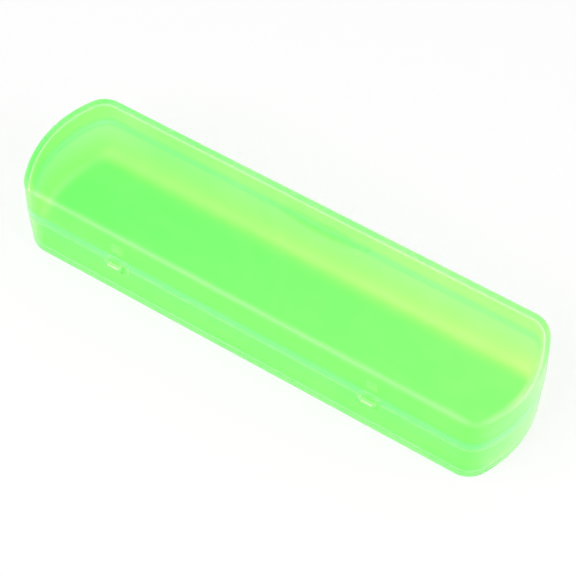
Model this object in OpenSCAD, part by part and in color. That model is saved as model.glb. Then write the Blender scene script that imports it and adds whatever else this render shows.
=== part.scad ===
// Travel toothbrush case: a moulded tray and a lid that clips on two hinge pins and snaps shut.
// Origin: middle of the underside. X runs along the case, the hinge is on the -Y side, +Z is up.

/* [Case] */
// Length over the bowed ends
case_l = 200; // [170:1:240]
// Width over the long sides, at the rim
case_w = 52; // [46:1:70]
// Height of the tray, from the underside to the rim
tray_h = 20; // [18:0.5:30]
// Height of the lid, from the rim to the top
lid_h = 16; // [13:0.5:18]
// Radius of the four upright corners, seen from above
corner_r = 10; // [9:0.5:14]
// Bow of the ends: tangent of a quarter of the angle that an end turns through
bow_share = 0.25; // [0.15:0.05:0.3]

/* [Walls] */
// Thickness of the side walls
wall_t = 1.6; // [1.5:0.1:2]
// Thickness of the tray's floor
floor_t = 1.6; // [1.2:0.1:2.4]
// Thickness of the lid's top
top_t = 1.6; // [1.2:0.1:2.4]
// How far the tray's wall leans in from the rim to the underside
tray_lean = 0.4; // [0.1:0.1:0.8]
// How far the lid's wall leans in from the rim to the top
lid_lean = 0.5; // [0.1:0.1:0.8]
// Rounding of the tray's bottom edge
foot_r = 2.5; // [1:0.1:3]
// Cove where the tray's wall meets its floor
tray_cove_r = 3.5; // [2:0.1:4]
// Rounding of the lid's top edge
crown_r = 2; // [1:0.1:2.5]
// Cove where the lid's wall meets its top
lid_cove_r = 2.5; // [1:0.1:3]

/* [Rim] */
// Height of the lip that stands up inside the lid's skirt
lip_h = 4; // [2.5:0.1:5]
// Thickness of the lip
lip_t = 0.65; // [0.5:0.05:0.8]
// Clearance between lip and skirt
lip_gap = 0.3; // [0.2:0.05:0.4]
// Gap between the two rims when the case is shut
shut_gap = 0.1; // [0.05:0.05:0.2]
// Rounding of the rims' outer edges
rim_r = 0.25; // [0.15:0.05:0.4]

/* [Hinge] */
// Distance between the middles of the two hinges
hinge_pitch = 104; // [60:1:130]
// Width of the clip on the lid
clip_w = 4.4; // [3:0.1:6]
// Width of each ear on the tray
ear_w = 1.3; // [1:0.1:2]
// Outer radius of clip and ears
knuckle_r = 2.2; // [2:0.1:2.6]
// Radius of the pin
pin_r = 0.9; // [0.8:0.05:1.1]
// Clearance of the pin in the clip, on the radius
pin_play = 0.05; // [0.02:0.01:0.1]
// Clearance at each side of the clip
side_play = 0.2; // [0.1:0.05:0.4]
// Clearance round the knuckles as they turn
turn_gap = 0.3; // [0.2:0.05:0.4]
// How far the hinge axis lies outside the wall
axis_out = 0.2; // [0.1:0.05:0.4]
// Width of the clip's mouth, which snaps over the pin
mouth_w = 1.5; // [1.2:0.05:1.6]
// Thickness of the pocket wall behind the clip
pocket_t = 1.2; // [0.9:0.1:1.6]
// Depth of the ramp under the pocket
ramp_h = 9; // [6:0.5:12]
// Height of the rib that carries the clip up the lid's wall
root_h = 12; // [8:0.5:12]
// How far that rib stands in from the lid's wall
root_t = 1; // [0.6:0.1:1.4]

/* [Latch] */
// Width of the thumb tab
tab_w = 44; // [24:1:60]
// How far the tab reaches below and above the rim
tab_rise = 5; // [4:0.5:6]
// Thickness of the tab
tab_t = 1.2; // [1:0.1:1.4]
// Radius of the roll along the tab's lower edge
roll_r = 0.8; // [0.6:0.1:1]
// Length of the catch beads
catch_l = 12; // [6:1:18]
// Radius of the catch beads
catch_r = 0.4; // [0.35:0.05:0.5]
// How far the tray's bead stands out of its wall
catch_out = 0.2; // [0.15:0.01:0.22]
// How far the tab's bead stands in from the tab
catch_in = 0.28; // [0.25:0.01:0.3]
// Depth of the tray's bead below the rim
catch_drop = 2.1; // [1.8:0.1:2.2]
// Drop from the tray's bead to the tab's bead when shut
catch_step = 1.1; // [1:0.05:1.3]

/* [Gate marks] */
// Radius of the dimple round each gate mark
gate_r = 2.2; // [1.5:0.1:3]
// Depth of the dimple
gate_d = 0.3; // [0.2:0.05:0.4]
// Radius of the gate's stub in the dimple
stub_r = 0.8; // [0.5:0.1:1.2]
// How far the stub's end lies below the surface
stub_d = 0.1; // [0.05:0.05:0.15]

/* [Hidden] */

// Roundness of the plan's arcs, of edges and of small round parts
arc_fn = 180;
edge_fn = 48;
edge_steps = 8;
rim_steps = 3;
// How far cuts run past the faces they open
cut_over = 1;
// How far added pieces reach into what carries them
seat_in = 0.3;

// Plan: each bowed end is an arc that runs on smoothly into the corners' arcs. The corners' centres
// lie corner_dx further out than the end's centre, and corner_y to either side of it.
corner_y = case_w / 2 - corner_r;
corner_dx = corner_y * (1 - pow(bow_share, 2)) / (2 * bow_share);
end_r = corner_r + corner_y * (1 + pow(bow_share, 2)) / (2 * bow_share);
end_x = case_l / 2 - end_r;
corner_x = end_x + corner_dx;
// How many times as far as the corners' centres the wedge round an end reaches
wedge_share = 3;

// Heights
case_h = tray_h + lid_h;
lip_z = tray_h + lip_h;
skirt_z = tray_h + shut_gap;
step_z = lip_z + lip_gap;
skirt_t = wall_t - lip_t - lip_gap;

// Lean of the walls as an angle from upright
tray_lean_a = atan(tray_lean / tray_h);
lid_lean_a = atan(lid_lean / lid_h);

// Hinge
axis_y = -(case_w / 2 + axis_out);
turn_r = knuckle_r + turn_gap;
bore_r = pin_r + pin_play;
pocket_w = clip_w + 2 * side_play;
ears_w = pocket_w + 2 * ear_w;
ear_x = pocket_w / 2 + ear_w / 2;
bulge_d = turn_r + pocket_t - axis_out;

// Latch: the tab is a lens between two arcs of this radius
tab_r = (pow(tab_w / 2, 2) + pow(tab_rise, 2)) / (2 * tab_rise);
roll_out = axis_out + knuckle_r;
roll_a = asin((tab_w / 2 - 2 * roll_r) / tab_r);

// How far the tray's and the lid's outer faces stand in from the outline at a height
function tray_in(z) = tray_lean * (1 - z / tray_h);
function lid_in(z) = lid_lean * (z - tray_h) / lid_h;
// Direction at an angle
function dir(a) = [cos(a), sin(a)];

// Points of a round between two edges that meet at a point and run off at angles a and b
function round_at(at, a, b, r, steps) =
    let (middle = at + r / sin((b - a) / 2) * dir((a + b) / 2))
    [for (i = [0 : steps]) middle + r * dir(a - 90 - i * (180 - b + a) / steps)];

// Half of a section, turned about the upright axis of an arc of the plan
module turned(arc_r) {
    rotate_extrude($fn = arc_fn)
        intersection() {
            translate([arc_r, 0]) mirror([1, 0]) children();
            square([arc_r, case_h]);
        }
}

// Body that follows the plan: a straight run, two bowed ends and four corners. Its section's X is the
// distance in from the outline, and its Y is the height.
module swept() {
    translate([-corner_x, 0, 0])
        rotate([90, 0, 90])
            linear_extrude(2 * corner_x)
                for (side = [0, 1]) mirror([side, 0])
                    translate([-case_w / 2, 0]) intersection() {
                        children();
                        square([case_w / 2 + cut_over, case_h]);
                    }
    for (turn = [0, 180]) rotate(turn) {
        intersection() {
            translate([end_x, 0, 0]) turned(end_r) children();
            linear_extrude(case_h)
                polygon([[end_x, 0],
                         [end_x + wedge_share * corner_dx, -wedge_share * corner_y],
                         [end_x + wedge_share * corner_dx, wedge_share * corner_y]]);
        }
        for (side = [-1, 1])
            translate([corner_x, side * corner_y, 0]) turned(corner_r) children();
    }
}

// Outer form of the tray: leaning wall with a rounded foot and rim, and the lip that stands on it
module tray_outside() {
    polygon(concat(round_at([tray_lean, 0], 0, 90 + tray_lean_a, foot_r, edge_steps),
                   round_at([0, tray_h], -90 + tray_lean_a, 0, rim_r, rim_steps),
                   [[wall_t - lip_t, tray_h]],
                   round_at([wall_t - lip_t, lip_z], -90, 0, rim_r, rim_steps),
                   [[case_w, lip_z], [case_w, 0]]));
}

// Hollow of the tray, open at the top, with its cove
module tray_inside() {
    polygon(concat(round_at([wall_t + tray_in(floor_t), floor_t], 0, 90 + tray_lean_a, tray_cove_r, edge_steps),
                   [[wall_t, tray_h],
                    [wall_t, lip_z + cut_over],
                    [case_w, lip_z + cut_over],
                    [case_w, floor_t]]));
}

// Outer form of the lid: leaning wall with a rounded rim and crown
module lid_outside() {
    polygon(concat(round_at([lid_in(skirt_z), skirt_z], 0, 90 - lid_lean_a, rim_r, rim_steps),
                   round_at([lid_lean, case_h], -90 - lid_lean_a, 0, crown_r, edge_steps),
                   [[case_w, case_h], [case_w, skirt_z]]));
}

// Hollow of the lid, open at the bottom, with its cove and the step that makes room for the lip
module lid_inside() {
    ceiling = case_h - top_t;
    polygon(concat([[case_w, skirt_z - cut_over],
                    [skirt_t, skirt_z - cut_over],
                    [skirt_t, step_z],
                    [wall_t + lid_in(step_z), step_z]],
                   round_at([wall_t + lid_in(ceiling), ceiling], -90 - lid_lean_a, 0, lid_cove_r, edge_steps),
                   [[case_w, ceiling]]));
}

// Round bar along X, centred, with flat ends or ball ends
module bar(r, length) {
    rotate([0, 90, 0]) cylinder(r = r, h = length, center = true, $fn = edge_fn);
}
module bead(r, length) {
    bar(r, length);
    for (side = [-1, 1]) translate([side * length / 2, 0, 0]) sphere(r, $fn = edge_fn);
}

// Strip along X whose section is drawn in from the hinge wall's outline
module hinge_strip(width) {
    translate([-width / 2, -case_w / 2, 0])
        rotate([90, 0, 90]) linear_extrude(width) children();
}

// Puts a thing at each of the two hinges, and on the hinge axis
module at_hinges() {
    for (side = [-1, 1]) translate([side * hinge_pitch / 2, 0, 0]) children();
}
module at_axis() {
    translate([0, axis_y, tray_h]) children();
}

// Dimple and stub that a moulding gate leaves, sunk into a face at z = 0 that looks up
module gate_mark() {
    difference() {
        translate([0, 0, -gate_d]) cylinder(r = gate_r, h = gate_d + cut_over, $fn = edge_fn);
        translate([0, 0, -gate_d - cut_over]) cylinder(r = stub_r, h = gate_d + cut_over - stub_d, $fn = edge_fn);
    }
}

module base_tray() {
    color([0.56, 0.98, 0.5]) {
        difference() {
            union() {
                difference() {
                    swept() tray_outside();
                    swept() tray_inside();
                }
                at_hinges() {
                    at_axis() bar(knuckle_r, ears_w);
                    hinge_strip(ears_w)
                        polygon([[wall_t / 2, tray_h],
                                 [bulge_d, tray_h],
                                 [bulge_d, tray_h - turn_r],
                                 [wall_t + tray_in(tray_h - ramp_h) - seat_in, tray_h - ramp_h],
                                 [wall_t / 2, tray_h - ramp_h]]);
                }
                translate([0, case_w / 2 - catch_r + catch_out, tray_h - catch_drop]) bead(catch_r, catch_l);
            }
            at_hinges() {
                at_axis() bar(turn_r, pocket_w);
                hinge_strip(pocket_w)
                    translate([0, tray_h]) square([bulge_d, lip_h + cut_over]);
            }
            mirror([0, 0, 1]) gate_mark();
        }
        at_hinges() at_axis() bar(pin_r, pocket_w + 2 * seat_in);
    }
}

// Lens-shaped thumb tab that hangs over the tray's wall, with a rolled lower edge and its catch bead
module thumb_tab() {
    intersection() {
        translate([tab_w / 2, case_w / 2, 0])
            rotate([90, 0, -90])
                linear_extrude(tab_w)
                    polygon([[skirt_t / 2, skirt_z],
                             [-lip_gap, skirt_z],
                             [-lip_gap, tray_h - tab_rise],
                             [-lip_gap - tab_t, tray_h - tab_rise],
                             [-lip_gap - tab_t, skirt_z],
                             [skirt_t / 2, tray_h + tab_rise]]);
        translate([0, 0, tray_h + tab_rise - tab_r])
            rotate([90, 0, 0]) cylinder(r = tab_r, h = 2 * case_w, center = true, $fn = arc_fn);
        translate([0, 0, tray_h - tab_rise + tab_r])
            rotate([90, 0, 0]) cylinder(r = tab_r - roll_r, h = 2 * case_w, center = true, $fn = arc_fn);
    }
    translate([0, case_w / 2 + roll_out - roll_r, tray_h - tab_rise + tab_r])
        rotate([90, 0, 0]) rotate(-90 - roll_a)
            rotate_extrude(angle = 2 * roll_a, $fn = 2 * arc_fn)
                translate([tab_r - roll_r, 0]) circle(roll_r, $fn = edge_fn);
    translate([0, case_w / 2 + lip_gap + catch_r - catch_in, tray_h - catch_drop - catch_step])
        bead(catch_r, catch_l);
}

module lid() {
    color([0.62, 1, 0.56])
        difference() {
            union() {
                difference() {
                    swept() lid_outside();
                    swept() lid_inside();
                    at_hinges() at_axis()
                        for (side = [-1, 1]) translate([side * ear_x, 0, 0])
                            bar(turn_r, ear_w + 2 * side_play);
                }
                at_hinges() {
                    at_axis() bar(knuckle_r, clip_w);
                    hinge_strip(clip_w)
                        polygon([[skirt_t / 2, skirt_z],
                                 [wall_t + root_t, skirt_z],
                                 [wall_t + root_t, lip_z],
                                 [wall_t, tray_h + root_h],
                                 [skirt_t / 2 + lid_lean, tray_h + root_h]]);
                }
                thumb_tab();
            }
            at_hinges() at_axis() {
                bar(bore_r, clip_w + cut_over);
                translate([0, 0, -knuckle_r])
                    cube([clip_w + cut_over, mouth_w, 2 * knuckle_r], center = true);
            }
            translate([0, 0, case_h]) gate_mark();
        }
}

base_tray();
lid();
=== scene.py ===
import math

import bpy
from mathutils import Matrix, Vector

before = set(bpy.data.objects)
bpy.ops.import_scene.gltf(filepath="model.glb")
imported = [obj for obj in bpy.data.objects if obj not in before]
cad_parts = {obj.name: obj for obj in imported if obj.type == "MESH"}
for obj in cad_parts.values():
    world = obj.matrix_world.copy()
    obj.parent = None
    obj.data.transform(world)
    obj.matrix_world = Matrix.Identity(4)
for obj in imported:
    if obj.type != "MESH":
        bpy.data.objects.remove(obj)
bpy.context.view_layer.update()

# Camera: its turn about the case and its height in degrees, its distance from what it looks at, and how far
# beside and above the case's centre that is
CAMERA_TURN = 32.366
CAMERA_HEIGHT = 55.81
CAMERA_DISTANCE = 0.6688
AIM_RIGHT = 0.00278
AIM_UP = -0.00245
LENS_MM = 118.9
SENSOR_MM = 36.0
CLIP_START = 0.05

# Light: the room's own level, what a white backdrop sends to the eye, and how much of the floor is plain white
# where it is seen straight, and where it is seen in or through the plastic
SKY_LIGHT = 0.48
BACKDROP_LIGHT = 1.0
STRAIGHT_WHITE = 0.78
THROUGH_WHITE = 0.35
PAPER_WHITE = 0.96
PAPER_ROUGHNESS = 0.9
PAPER_SHINE = 0.1
PAPER_SIZE = 6
PAPER_Z = -0.0001

# Name, place, size and power of each lamp. The near top edge and the right end mirror them to the camera,
# and the flat lid mirrors neither of them in full
LAMPS = (
    ("key_lamp", (-0.30, -0.60, 0.74), 0.9, 5.8),
    ("end_lamp", (0.86, 0.05, 0.50), 0.8, 4.4),
)

# Clear walls hand a ray on many times before it leaves them
MAX_BOUNCES = 32
CLEAR_BOUNCES = 24

# Heights of the case, in metres, that its finish follows
FLOOR_TOP_Z = 0.0016
RIM_Z = 0.020
LIP_TOP_Z = 0.024
TOP_ZONE_Z = 0.0338
CASE_TOP_Z = 0.036
ABOVE_CASE_Z = 0.05

# How soft the borders of the zones between two heights are, and how thin the two joint lines round the case
RIM_SOFTNESS = 0.001
TOP_SOFTNESS = 0.0005
SEAM_SOFTNESS = 0.00008
SEAM_HALF = 0.00012

# Where a zone starts and ends to fade, in metres along X, Y or Z
LEFT_END_X = (-0.097, -0.080)
RIGHT_END_X = (0.087, 0.098)
# painted light: the top grows lighter between these two places along X
LIGHTER_RIGHT_X = (-0.11, 0.11)
NEAR_Y = (-0.022, -0.014)
FAR_Y = (0.0175, 0.0245)
HINGE_Y = (-0.0264, -0.0262)
TAB_Y = (0.0262, 0.0265)
# painted highlight on the rounds: full on the near side, fading to less on the far side between these two places
HIGHLIGHT_SIDE_Y = (0.0, 0.020)
FLOOR_Z = (FLOOR_TOP_Z + 0.0001, FLOOR_TOP_Z + 0.0004)
STRIP_Z = (0.004, 0.009)
CLIMB_Z = (0.006, RIM_Z)

# How much higher the floor's zone of painted shade reaches at the near wall, where it starts and where it ends to
# fade
FLOOR_NEAR_RISE = (0.002, 0.008)

# The plastic: what each zone of it lets through
TRAY_WALL_TINT = (0.76, 1.0, 0.43)
LID_WALL_TINT = (0.73, 1.0, 0.455)
# painted shade: the left end of the case is darker
SHADED_LEFT_END_TINT = (0.54, 1.0, 0.27)
# painted light: the right end of the case is paler, as if lit
LIT_RIGHT_END_TINT = (0.90, 1.0, 0.69)
TOP_TINT = (0.615, 1.0, 0.55)
# painted light: the top's colour towards +X, paler than TOP_TINT
LIT_TOP_TINT = (0.83, 1.0, 0.64)
# a deeper colour used both for the dye's uneven clouds and as painted shade on the floor
DEEP_TONE_AND_FLOOR_SHADE_TINT = (0.48, 1.0, 0.41)
UPPER_TINT = (0.68, 1.0, 0.60)
# painted highlight: a paler, yellower strip low on the far wall
STRIP_HIGHLIGHT_TINT = (0.87, 1.0, 0.435)
RIM_TINT = (0.77, 1.0, 0.80)
HINGE_TINT = (0.62, 1.0, 0.42)
TAB_TINT = (0.76, 1.0, 0.64)
# a paler colour used both for moulding marks and scuffs and for the painted highlight on the upward rounds
PALE_MARK_AND_HIGHLIGHT_TINT = (1.0, 1.0, 0.74)

# Painted glow: a fixed emission that brightens the plastic whatever the lamps do
WALL_GLOW = (0.003, 0.045, 0.012)
RIM_GLOW = (0.006, 0.05, 0.02)
TAB_GLOW = (0.010, 0.08, 0.045)
SEAM_GLOW = (0.008, 0.09, 0.025)

# How far each mark and the painted highlight on the rounds change the tint, and between which values of its pattern
# each mark comes in
CLIMB_SHARE = 0.7
# painted highlight on the upward rounds, and how much of it is left on the far side
EDGE_HIGHLIGHT_SHARE = 0.9
FAR_HIGHLIGHT_SHARE = 0.2
BLUSH_SHARE = 0.08
STREAK_SHARE = 0.12
CLOUD_SHARE = 0.10
SCUFF_SHARE = 0.12
STREAK_RANGE = (0.35, 0.75)
CLOUD_RANGE = (0.3, 0.7)
SCUFF_PATCH_RANGE = (0.46, 0.66)

# The scuffs: how long and how fine the marks are, how deep, and where the second slant's pattern starts
SCUFF_STRETCH = 0.03
SCUFF_SCALE = 420.0
SCUFF_DEPTH = 0.2
SECOND_SLANT_START = 3.7

# The surface. The denoiser leaves specks where roughness crosses about 0.27, so all of it stays below
ROUGH_LOW = 0.17
ROUGH_HIGH = 0.24
SCUFF_ROUGHNESS = 0.025
PEEL_HEIGHT = 0.3
STREAK_HEIGHT = 1.5
BUMP_STRENGTH = 0.35
BUMP_DISTANCE = 0.00004
PLASTIC_IOR = 1.2
SKIN_WEIGHT = 0.35
EDGE_SHINE = 0.65
SKIN_ROUGHNESS = 0.3
SKIN_IOR = 1.5


def feed(tree, socket, value):
    """Link another node's output to a socket, or set the socket's own value."""
    if isinstance(value, bpy.types.NodeSocket):
        tree.links.new(value, socket)
    else:
        socket.default_value = value


def new_node(tree, kind, **inputs):
    """A node with some of its inputs set or linked; an underscore in a name stands for a space."""
    node = tree.nodes.new("ShaderNode" + kind)
    for name, value in inputs.items():
        feed(tree, node.inputs[name.replace("_", " ")], value)
    return node


def maths(tree, operation, *values):
    node = tree.nodes.new("ShaderNodeMath")
    node.operation = operation
    for socket, value in zip(node.inputs, values):
        feed(tree, socket, value)
    return node.outputs[0]


def vector_maths(tree, operation, vector):
    node = tree.nodes.new("ShaderNodeVectorMath")
    node.operation = operation
    feed(tree, node.inputs[0], vector)
    return node


def smooth_step(tree, value, low, high, to_low=0.0, to_high=1.0):
    node = tree.nodes.new("ShaderNodeMapRange")
    node.interpolation_type = "SMOOTHSTEP"
    for name, given in (("Value", value), ("From Min", low), ("From Max", high),
                        ("To Min", to_low), ("To Max", to_high)):
        feed(tree, node.inputs[name], given)
    return node.outputs["Result"]


def fade_out(tree, value, low, high):
    return smooth_step(tree, value, low, high, 1.0, 0.0)


def rest_of(tree, mask):
    return maths(tree, "SUBTRACT", 1.0, mask)


def mix_colours(tree, share, first, second):
    node = tree.nodes.new("ShaderNodeMix")
    node.data_type = "RGBA"
    feed(tree, node.inputs["Factor"], share)
    for name, colour in (("A", first), ("B", second)):
        socket = next(s for s in node.inputs if s.name == name and s.type == "RGBA")
        feed(tree, socket, colour if isinstance(colour, bpy.types.NodeSocket) else (*colour, 1))
    return next(s for s in node.outputs if s.type == "RGBA")


def layered(tree, colour, layers):
    """A colour with others laid over it, each by its own share."""
    for share, over in layers:
        colour = mix_colours(tree, share, colour, over)
    return colour


def new_group(name, inputs, outputs):
    """A shader node group with number sockets; inputs are given with their usual values."""
    group = bpy.data.node_groups.new(name, "ShaderNodeTree")
    for label, value in inputs.items():
        socket = group.interface.new_socket(name=label, in_out="INPUT", socket_type="NodeSocketFloat")
        socket.default_value = value
    for label in outputs:
        group.interface.new_socket(name=label, in_out="OUTPUT", socket_type="NodeSocketFloat")
    return group, group.nodes.new("NodeGroupInput").outputs, group.nodes.new("NodeGroupOutput").inputs


def placed(tree, group, **inputs):
    """A group set into a tree, and its outputs."""
    node = tree.nodes.new("ShaderNodeGroup")
    node.node_tree = group
    for name, value in inputs.items():
        feed(tree, node.inputs[name.replace("_", " ")], value)
    return node.outputs


def object_place(tree):
    return new_node(tree, "TexCoord").outputs["Object"]


def height_zone_group():
    """1 between two heights on the case, with soft borders."""
    group, given, out = new_group("height_zone", {"Bottom": 0.0, "Top": 0.01, "Softness": 0.0003}, ["Mask"])
    height = new_node(group, "SeparateXYZ", Vector=object_place(group)).outputs["Z"]
    borders = {edge: (maths(group, "SUBTRACT", given[edge], given["Softness"]),
                      maths(group, "ADD", given[edge], given["Softness"])) for edge in ("Bottom", "Top")}
    rising = smooth_step(group, height, *borders["Bottom"])
    falling = fade_out(group, height, *borders["Top"])
    feed(group, out["Mask"], maths(group, "MULTIPLY", rising, falling))
    return group


def case_zone_group():
    """The parts of the case by their place. The floor carries painted shade and the strip a painted highlight; the
    one input is how much the floor, the strip and the climb count.
    """
    group, given, out = new_group(
        "case_zones", {"Floor depth": 1.0},
        ["Left end", "Right end", "Lighter right", "Floor", "Strip", "Climb", "Hinge", "Tab", "Highlight side"])
    x, y, z = new_node(group, "SeparateXYZ", Vector=object_place(group)).outputs
    near = fade_out(group, y, *NEAR_Y)
    far = smooth_step(group, y, *FAR_Y)
    right_end = smooth_step(group, x, *RIGHT_END_X)
    floor_borders = [maths(group, "MULTIPLY_ADD", near, rise, height)
                     for rise, height in zip(FLOOR_NEAR_RISE, FLOOR_Z)]
    # painted shade on the floor and low on the near wall, for the case's shadow on the table seen through them
    floor = maths(group, "MULTIPLY", fade_out(group, z, *floor_borders), rest_of(group, far))
    # painted highlight: the strip low on the far wall
    strip = maths(group, "MULTIPLY", far, fade_out(group, z, *STRIP_Z))
    climb = smooth_step(group, z, *CLIMB_Z, 0.0, CLIMB_SHARE)
    climb = maths(group, "MULTIPLY", climb, rest_of(group, right_end))
    for label, mask in (("Floor", floor), ("Strip", strip), ("Climb", climb)):
        feed(group, out[label], maths(group, "MULTIPLY", mask, given["Floor depth"]))
    feed(group, out["Left end"], fade_out(group, x, *LEFT_END_X))
    feed(group, out["Right end"], right_end)
    # painted light: 0 to 1 along X, for the top growing lighter to the right
    feed(group, out["Lighter right"], smooth_step(group, x, *LIGHTER_RIGHT_X))
    feed(group, out["Hinge"], fade_out(group, y, *HINGE_Y))
    feed(group, out["Tab"], smooth_step(group, y, *TAB_Y))
    # painted highlight share along Y: full on the near side, less on the far side
    feed(group, out["Highlight side"], smooth_step(group, y, *HIGHLIGHT_SIDE_Y, 1.0, FAR_HIGHLIGHT_SHARE))
    return group


def rounded_edge_group():
    """1 on the rounds that face upwards, between upright and level, where the case lays a painted highlight and a
    stronger coat.
    """
    group, given, out = new_group(
        "rounded_edges", {"Upright": 0.12, "Upright fade": 0.3, "Flat": 0.97, "Flat fade": 0.2}, ["Mask"])
    normal = new_node(group, "TexCoord").outputs["Normal"]
    rise = new_node(group, "SeparateXYZ", Vector=normal).outputs["Z"]
    upright_end = maths(group, "ADD", given["Upright"], given["Upright fade"])
    flat_start = maths(group, "SUBTRACT", given["Flat"], given["Flat fade"])
    off_upright = smooth_step(group, rise, given["Upright"], upright_end)
    off_flat = fade_out(group, rise, flat_start, given["Flat"])
    feed(group, out["Mask"], maths(group, "MULTIPLY", off_upright, off_flat))
    return group


def moulding_flow_group():
    """Faint streaks where the plastic ran outwards from its gate, and the blush round the gate itself."""
    group, given, out = new_group("moulding_flow", {"Streaks": 9.0, "Ripple": 60.0, "Blush radius": 0.007},
                                  ["Streak", "Blush"])
    place = new_node(group, "SeparateXYZ", Vector=object_place(group)).outputs
    level = new_node(group, "CombineXYZ", X=place["X"], Y=place["Y"]).outputs[0]
    away = vector_maths(group, "LENGTH", level).outputs["Value"]
    way = vector_maths(group, "NORMALIZE", level).outputs["Vector"]
    spread = vector_maths(group, "SCALE", way)
    feed(group, spread.inputs["Scale"], given["Streaks"])
    turned = new_node(group, "SeparateXYZ", Vector=spread.outputs["Vector"]).outputs
    where = new_node(group, "CombineXYZ", X=turned["X"], Y=turned["Y"],
                     Z=maths(group, "MULTIPLY", away, given["Ripple"])).outputs[0]
    noise = new_node(group, "TexNoise", Vector=where, Scale=1.0, Detail=3.0, Roughness=0.55)
    feed(group, out["Streak"], noise.outputs["Fac"])
    feed(group, out["Blush"], fade_out(group, away, 0.0, given["Blush radius"]))
    return group


def fine_scuff_group():
    """Thin rub marks in two slants and the patches where they gather, as a mask and a height."""
    group, given, out = new_group("fine_scuffs", {"Slant": 0.35, "Thinness": 0.006, "Patches": 45.0},
                                  ["Mask", "Height"])
    place = object_place(group)
    marks = []
    for start, sign in ((0.0, 1.0), (SECOND_SLANT_START, -1.0)):
        turn = new_node(group, "VectorRotate", Vector=place, Angle=maths(group, "MULTIPLY", given["Slant"], sign))
        turn.rotation_type = "Z_AXIS"
        stretch = new_node(group, "Mapping", Vector=turn.outputs[0], Location=(start, start, 0),
                           Scale=(SCUFF_STRETCH, 1.0, 1.0))
        noise = new_node(group, "TexNoise", Vector=stretch.outputs[0], Scale=SCUFF_SCALE, Detail=2.0, Roughness=0.5)
        off_middle = maths(group, "ABSOLUTE", maths(group, "SUBTRACT", noise.outputs["Fac"], 0.5))
        marks.append(fade_out(group, off_middle, 0.0, given["Thinness"]))
    both = maths(group, "MAXIMUM", *marks)
    patch = new_node(group, "TexNoise", Vector=place, Scale=given["Patches"], Detail=2.0, Roughness=0.6)
    gathered = smooth_step(group, patch.outputs["Fac"], *SCUFF_PATCH_RANGE)
    mask = maths(group, "MULTIPLY", both, gathered)
    feed(group, out["Mask"], mask)
    feed(group, out["Height"], maths(group, "MULTIPLY", mask, -SCUFF_DEPTH))
    return group


def uneven_polish_group():
    """Slow unevenness of the polish and the dye over the whole moulding, and a fine orange-peel height."""
    group, given, out = new_group("uneven_polish", {"Cloud size": 28.0, "Peel size": 900.0}, ["Cloud", "Peel"])
    place = object_place(group)
    cloud = new_node(group, "TexNoise", Vector=place, Scale=given["Cloud size"], Detail=4.0, Roughness=0.55)
    peel = new_node(group, "TexNoise", Vector=place, Scale=given["Peel size"], Detail=1.0, Roughness=0.4)
    feed(group, out["Cloud"], cloud.outputs["Fac"])
    feed(group, out["Peel"], peel.outputs["Fac"])
    return group


def new_material(name):
    material = bpy.data.materials.new(name)
    material.use_nodes = True
    material.node_tree.nodes.clear()
    return material, material.node_tree


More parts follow.
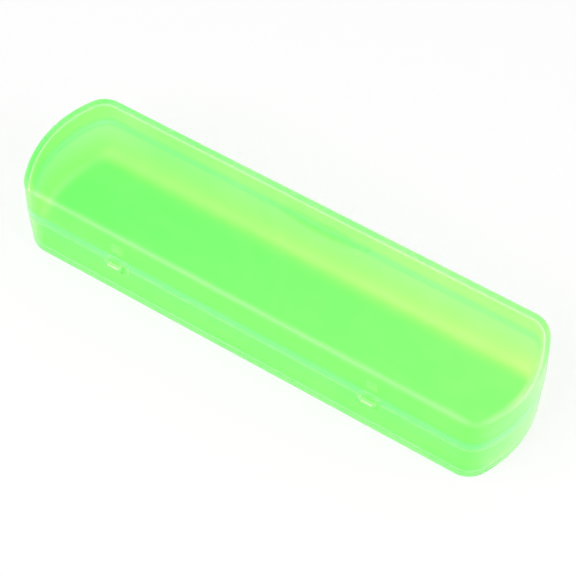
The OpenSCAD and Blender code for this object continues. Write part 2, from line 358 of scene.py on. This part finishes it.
def dyed_plastic(name, wall_tint, painted_light_share):
    """Clear neon-green polypropylene; the last argument is how much painted shade its floor gets, for the case's
    shadow on the table seen through it, and how much the strip and the climb count.
    """
    material, tree = new_material(name)
    zones = placed(tree, case_zones, Floor_depth=painted_light_share)
    rim = placed(tree, height_zone, Bottom=RIM_Z, Top=LIP_TOP_Z, Softness=RIM_SOFTNESS)["Mask"]
    top = placed(tree, height_zone, Bottom=TOP_ZONE_Z, Top=ABOVE_CASE_Z, Softness=TOP_SOFTNESS)["Mask"]
    seams = [placed(tree, height_zone, Bottom=z - SEAM_HALF, Top=z + SEAM_HALF, Softness=SEAM_SOFTNESS)["Mask"]
             for z in (RIM_Z, LIP_TOP_Z)]
    # painted highlight on the upward rounds, faint on the far side; the same mask also raises the coat there
    highlit_edges = maths(tree, "MULTIPLY", placed(tree, rounded_edges)["Mask"], zones["Highlight side"])
    flow = placed(tree, moulding_flow)
    scuffs = placed(tree, fine_scuffs)
    polish = placed(tree, uneven_polish)

    tint = layered(tree, wall_tint, (
        # painted shade over the left end
        (zones["Left end"], SHADED_LEFT_END_TINT),
        # painted light over the right end
        (zones["Right end"], LIT_RIGHT_END_TINT),
        # painted light: the top grows paler towards +X
        (top, mix_colours(tree, zones["Lighter right"], TOP_TINT, LIT_TOP_TINT)),
        (zones["Climb"], UPPER_TINT),
        # painted highlight on the strip low on the far wall
        (zones["Strip"], STRIP_HIGHLIGHT_TINT),
        (rim, RIM_TINT),
        (zones["Hinge"], HINGE_TINT),
        (zones["Tab"], TAB_TINT),
        # painted highlight on the upward rounds
        (maths(tree, "MULTIPLY", highlit_edges, EDGE_HIGHLIGHT_SHARE), PALE_MARK_AND_HIGHLIGHT_TINT),
        # painted shade on the floor
        (zones["Floor"], DEEP_TONE_AND_FLOOR_SHADE_TINT),
        (maths(tree, "MULTIPLY", flow["Blush"], BLUSH_SHARE), PALE_MARK_AND_HIGHLIGHT_TINT),
        (smooth_step(tree, flow["Streak"], *STREAK_RANGE, 0.0, STREAK_SHARE), PALE_MARK_AND_HIGHLIGHT_TINT),
        (smooth_step(tree, polish["Cloud"], *CLOUD_RANGE, 0.0, CLOUD_SHARE), DEEP_TONE_AND_FLOOR_SHADE_TINT),
        (maths(tree, "MULTIPLY", scuffs["Mask"], SCUFF_SHARE), PALE_MARK_AND_HIGHLIGHT_TINT),
    ))
    # painted glow on the walls, stronger on the rim, the tab and the two joint lines
    glow = layered(tree, WALL_GLOW, (
        (rim, RIM_GLOW),
        (zones["Tab"], TAB_GLOW),
        (maths(tree, "MAXIMUM", *seams), SEAM_GLOW),
    ))

    rough = smooth_step(tree, polish["Cloud"], *CLOUD_RANGE, ROUGH_LOW, ROUGH_HIGH)
    rough = maths(tree, "MULTIPLY_ADD", scuffs["Mask"], SCUFF_ROUGHNESS, rough)
    height = maths(tree, "MULTIPLY_ADD", polish["Peel"], PEEL_HEIGHT, scuffs["Height"])
    height = maths(tree, "MULTIPLY_ADD", flow["Streak"], STREAK_HEIGHT, height)
    bump = new_node(tree, "Bump", Height=height, Strength=BUMP_STRENGTH, Distance=BUMP_DISTANCE)

    body = new_node(tree, "BsdfPrincipled", Base_Color=tint, Roughness=rough, Normal=bump.outputs[0],
                    IOR=PLASTIC_IOR, Transmission_Weight=1.0, Emission_Color=glow, Emission_Strength=1.0,
                    Coat_Weight=maths(tree, "MULTIPLY_ADD", highlit_edges, EDGE_SHINE, SKIN_WEIGHT),
                    Coat_Roughness=SKIN_ROUGHNESS, Coat_IOR=SKIN_IOR)
    new_node(tree, "OutputMaterial", Surface=body.outputs[0])
    return material


def mirrored_or_through(tree, path):
    """1 on rays that a surface mirrors or that pass through clear plastic."""
    return maths(tree, "MAXIMUM", path["Is Glossy Ray"], path["Is Transmission Ray"])


def make_camera():
    turn, height = math.radians(CAMERA_TURN), math.radians(CAMERA_HEIGHT)
    back = Vector((math.sin(turn) * math.cos(height), -math.cos(turn) * math.cos(height), math.sin(height)))
    right = Vector((math.cos(turn), math.sin(turn), 0))
    up = back.cross(right)
    aim = Vector((0, 0, CASE_TOP_Z / 2)) + AIM_RIGHT * right + AIM_UP * up
    data = bpy.data.cameras.new("camera")
    data.lens = LENS_MM
    data.sensor_width = SENSOR_MM
    data.clip_start = CLIP_START
    camera = bpy.data.objects.new("camera", data)
    bpy.context.scene.collection.objects.link(camera)
    place = Matrix((right, up, back)).transposed().to_4x4()
    place.translation = aim + CAMERA_DISTANCE * back
    camera.matrix_world = place
    bpy.context.scene.camera = camera


def make_world():
    """A white backdrop for what the eye sees, and a lower level for what lights the case."""
    world = bpy.data.worlds.new("studio")
    bpy.context.scene.world = world
    world.use_nodes = True
    tree = world.node_tree
    tree.nodes.clear()
    path = new_node(tree, "LightPath").outputs
    seen = maths(tree, "MAXIMUM", mirrored_or_through(tree, path), path["Is Camera Ray"])
    level = new_node(tree, "MapRange", Value=seen, To_Min=SKY_LIGHT, To_Max=BACKDROP_LIGHT)
    sky = new_node(tree, "Background", Color=(1, 1, 1, 1), Strength=level.outputs["Result"])
    new_node(tree, "OutputWorld", Surface=sky.outputs[0])


def make_floor():
    """White paper that keeps the case's shadow; part of it counts as plain white."""
    bpy.ops.object.select_all(action="DESELECT")
    bpy.ops.mesh.primitive_plane_add(size=PAPER_SIZE, location=(0, 0, PAPER_Z))
    floor = bpy.context.object
    floor.name = "floor"
    material, tree = new_material("floor_paper")
    paper = new_node(tree, "BsdfPrincipled", Base_Color=(PAPER_WHITE, PAPER_WHITE, PAPER_WHITE, 1),
                     Roughness=PAPER_ROUGHNESS, Specular_IOR_Level=PAPER_SHINE)
    white = new_node(tree, "Emission")
    path = new_node(tree, "LightPath").outputs
    straight = maths(tree, "MULTIPLY", path["Is Camera Ray"], STRAIGHT_WHITE)
    through = maths(tree, "MULTIPLY", mirrored_or_through(tree, path), THROUGH_WHITE)
    mix = tree.nodes.new("ShaderNodeMixShader")
    for socket, value in zip(mix.inputs, (maths(tree, "MAXIMUM", through, straight), paper.outputs[0],
                                          white.outputs[0])):
        feed(tree, socket, value)
    new_node(tree, "OutputMaterial", Surface=mix.outputs[0])
    floor.data.materials.append(material)


def make_lamp(name, place, size, power):
    """A round area lamp that points at the case's foot."""
    data = bpy.data.lights.new(name, "AREA")
    data.shape = "DISK"
    data.size = size
    data.energy = power
    lamp = bpy.data.objects.new(name, data)
    lamp.location = place
    lamp.rotation_euler = Vector(place).to_track_quat("Z", "Y").to_euler()
    bpy.context.scene.collection.objects.link(lamp)


make_camera()
make_world()
make_floor()
for lamp in LAMPS:
    make_lamp(*lamp)

height_zone = height_zone_group()
case_zones = case_zone_group()
rounded_edges = rounded_edge_group()
moulding_flow = moulding_flow_group()
fine_scuffs = fine_scuff_group()
uneven_polish = uneven_polish_group()

finishes = {
    "base_tray": dyed_plastic("tray_plastic", TRAY_WALL_TINT, 1.0),
    "lid": dyed_plastic("lid_plastic", LID_WALL_TINT, 0.0),
}
for name, finish in finishes.items():
    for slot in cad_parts[name].material_slots:
        slot.material = finish

scene = bpy.context.scene
scene.view_settings.view_transform = "Standard"
scene.cycles.max_bounces = MAX_BOUNCES
scene.cycles.glossy_bounces = CLEAR_BOUNCES
scene.cycles.transmission_bounces = CLEAR_BOUNCES
